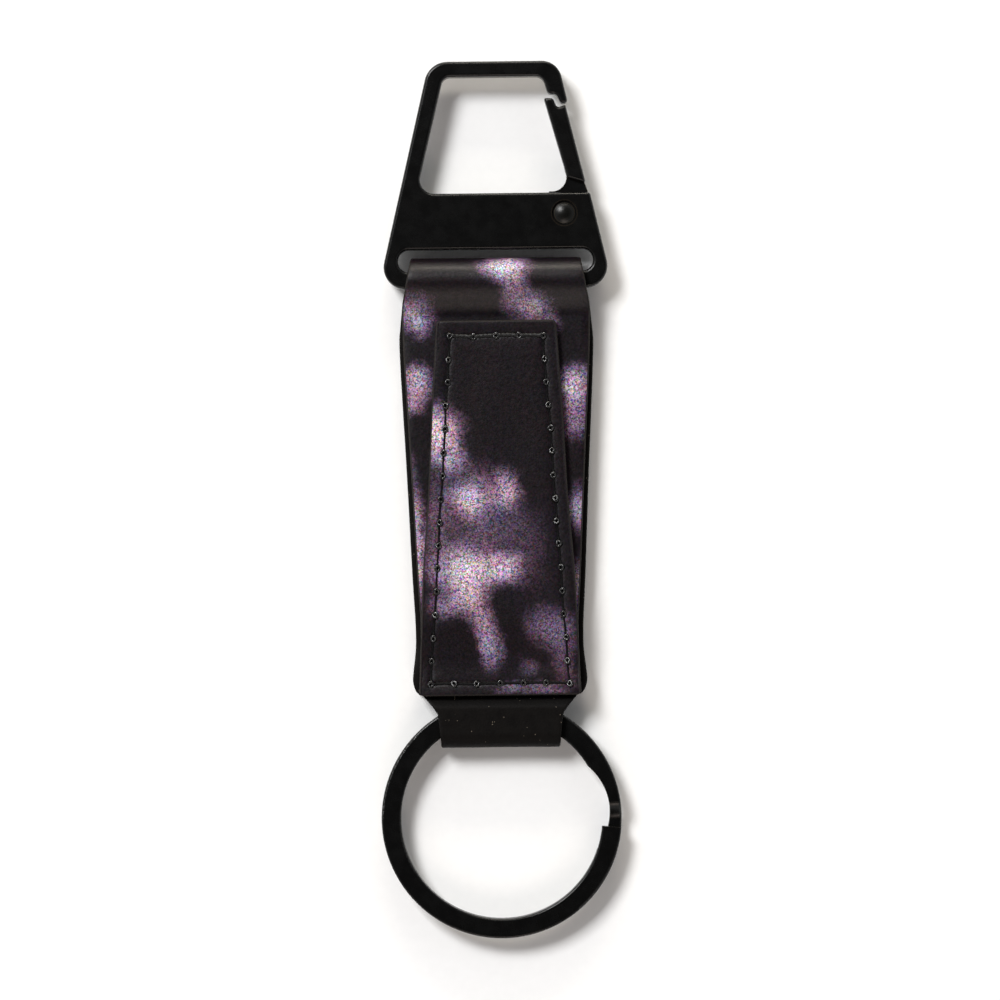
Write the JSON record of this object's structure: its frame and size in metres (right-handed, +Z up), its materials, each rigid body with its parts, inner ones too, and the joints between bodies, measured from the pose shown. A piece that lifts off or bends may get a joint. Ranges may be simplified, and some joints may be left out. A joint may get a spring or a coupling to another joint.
{
  "type": "key organiser strap",
  "caption": "Leather key strap with a flat trapezoid spring-gate clip at one end and a split key ring in a leather loop at the other",
  "frame": {"origin": "under the middle of the whole object, on the surface that the strap's back lies on", "axes": "+Z up out of the stitched front, +Y from the key ring towards the clip, +X to the right, on the gate's side"},
  "size_m": [0.032, 0.1168, 0.006],
  "materials": {
    "clip_coating": "fine satin black coating",
    "rivet_steel": "black coated rivet head, worn bright at the crown",
    "spring_steel": "bright spring wire",
    "printed_leather": "smooth dark leather with a soft printed cloud pattern",
    "black_leather": "matte black leather",
    "waxed_thread": "waxed black sewing thread",
    "ring_coating": "satin black coated flat wire"
  },
  "bodies": {
    "strap": {"clip_strap": "printed_leather", "front_panel": "printed_leather", "lining_back": "black_leather", "lining_front": "black_leather", "neck_back": "black_leather", "neck_front": "black_leather", "sewing_thread": "waxed_thread"},
    "clip": {"clip_frame": "clip_coating", "gate_rivet": "rivet_steel", "gate_spring": "spring_steel"},
    "gate": {"clip_gate": "clip_coating"},
    "loop": {"ring_loop": "black_leather"},
    "ring": {"split_ring": "ring_coating"}
  },
  "joints": [
    {"name": "clip_swing", "type": "hinge", "parent": "strap", "child": "clip", "pos_m": [0, 0.0293, 0.003], "axis": [1, 0, 0], "range_deg": [-100, 100]},
    {"name": "gate_pivot", "type": "hinge", "parent": "clip", "child": "gate", "pos_m": [0.00925, 0.0381, 0.003], "axis": [0, 0, 1], "range_deg": [0, 28], "stiffness_Nm_per_rad": 0.02, "springref_deg": -20.05, "deforming": ["gate_spring"]},
    {"name": "loop_flex", "type": "hinge", "parent": "strap", "child": "loop", "pos_m": [0, -0.0264, 0.00245], "axis": [1, 0, 0], "range_deg": [-45, 45], "stiffness_Nm_per_rad": 0.02, "deforming": ["neck_back", "neck_front"]},
    {"name": "ring_spin", "type": "hinge", "parent": "loop", "child": "ring", "pos_m": [0, -0.0424, 0.00245], "axis": [0, 0, 1], "continuous": true}
  ]
}
